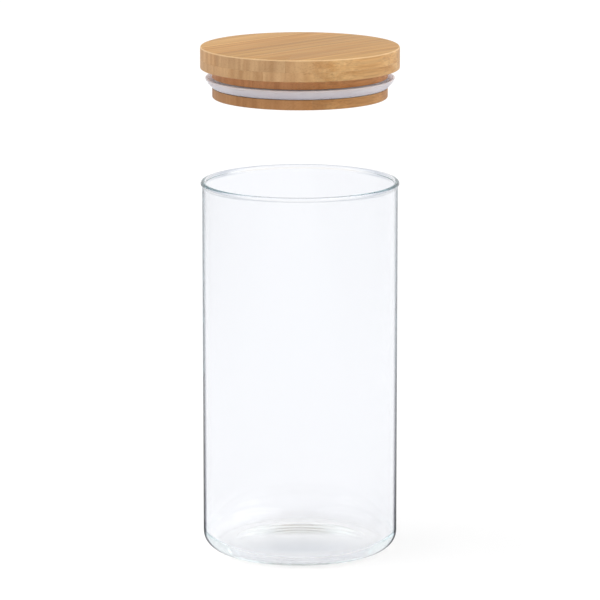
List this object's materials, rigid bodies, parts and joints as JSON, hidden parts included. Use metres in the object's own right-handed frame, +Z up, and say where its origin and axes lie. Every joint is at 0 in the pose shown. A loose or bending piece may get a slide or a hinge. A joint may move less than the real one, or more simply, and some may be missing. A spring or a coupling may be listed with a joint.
{
  "type": "storage canister",
  "caption": "Straight-sided clear glass storage jar with a turned bamboo plug lid, shown lifted off, whose groove carries a silicone lip seal.",
  "frame": {"origin": "centre of the flat ring that the jar stands on, on the surface under it", "axes": "+Z up along the jar's axis and through the lid; +X to the right and +Y to the back; the lid's strips run along X = Y"},
  "size_m": [0.1, 0.1, 0.2574],
  "materials": {
    "glass": "clear, fire-polished",
    "bamboo": "oiled, satin",
    "silicone": "translucent white, soft satin"
  },
  "bodies": {
    "jar": {"glass_jar": "glass"},
    "seal": {"silicone_seal": "silicone"},
    "lid": {"flange_top_strip_1": "bamboo", "flange_top_strip_2": "bamboo", "flange_top_strip_3": "bamboo", "flange_top_strip_4": "bamboo", "flange_top_strip_5": "bamboo", "flange_lower_strip_1": "bamboo", "flange_lower_strip_2": "bamboo", "flange_lower_strip_3": "bamboo", "flange_lower_strip_4": "bamboo", "flange_lower_strip_5": "bamboo", "flange_lower_strip_6": "bamboo", "plug_upper_strip_1": "bamboo", "plug_upper_strip_2": "bamboo", "plug_upper_strip_3": "bamboo", "plug_upper_strip_4": "bamboo", "plug_upper_strip_5": "bamboo", "plug_core_strip_1": "bamboo", "plug_core_strip_2": "bamboo", "plug_core_strip_3": "bamboo", "plug_core_strip_4": "bamboo", "plug_core_strip_5": "bamboo", "plug_collar_strip_1": "bamboo", "plug_collar_strip_2": "bamboo", "plug_collar_strip_3": "bamboo", "plug_collar_strip_4": "bamboo", "plug_collar_strip_5": "bamboo"}
  },
  "joints": [
    {"name": "lid_lift", "type": "slide", "parent": "jar", "child": "seal", "axis": [0, 0, 1], "range_m": [-0.0573, 0.0427]},
    {"name": "lid_turn", "type": "hinge", "parent": "seal", "child": "lid", "pos_m": [0, 0, 0.2], "axis": [0, 0, 1], "continuous": true}
  ]
}
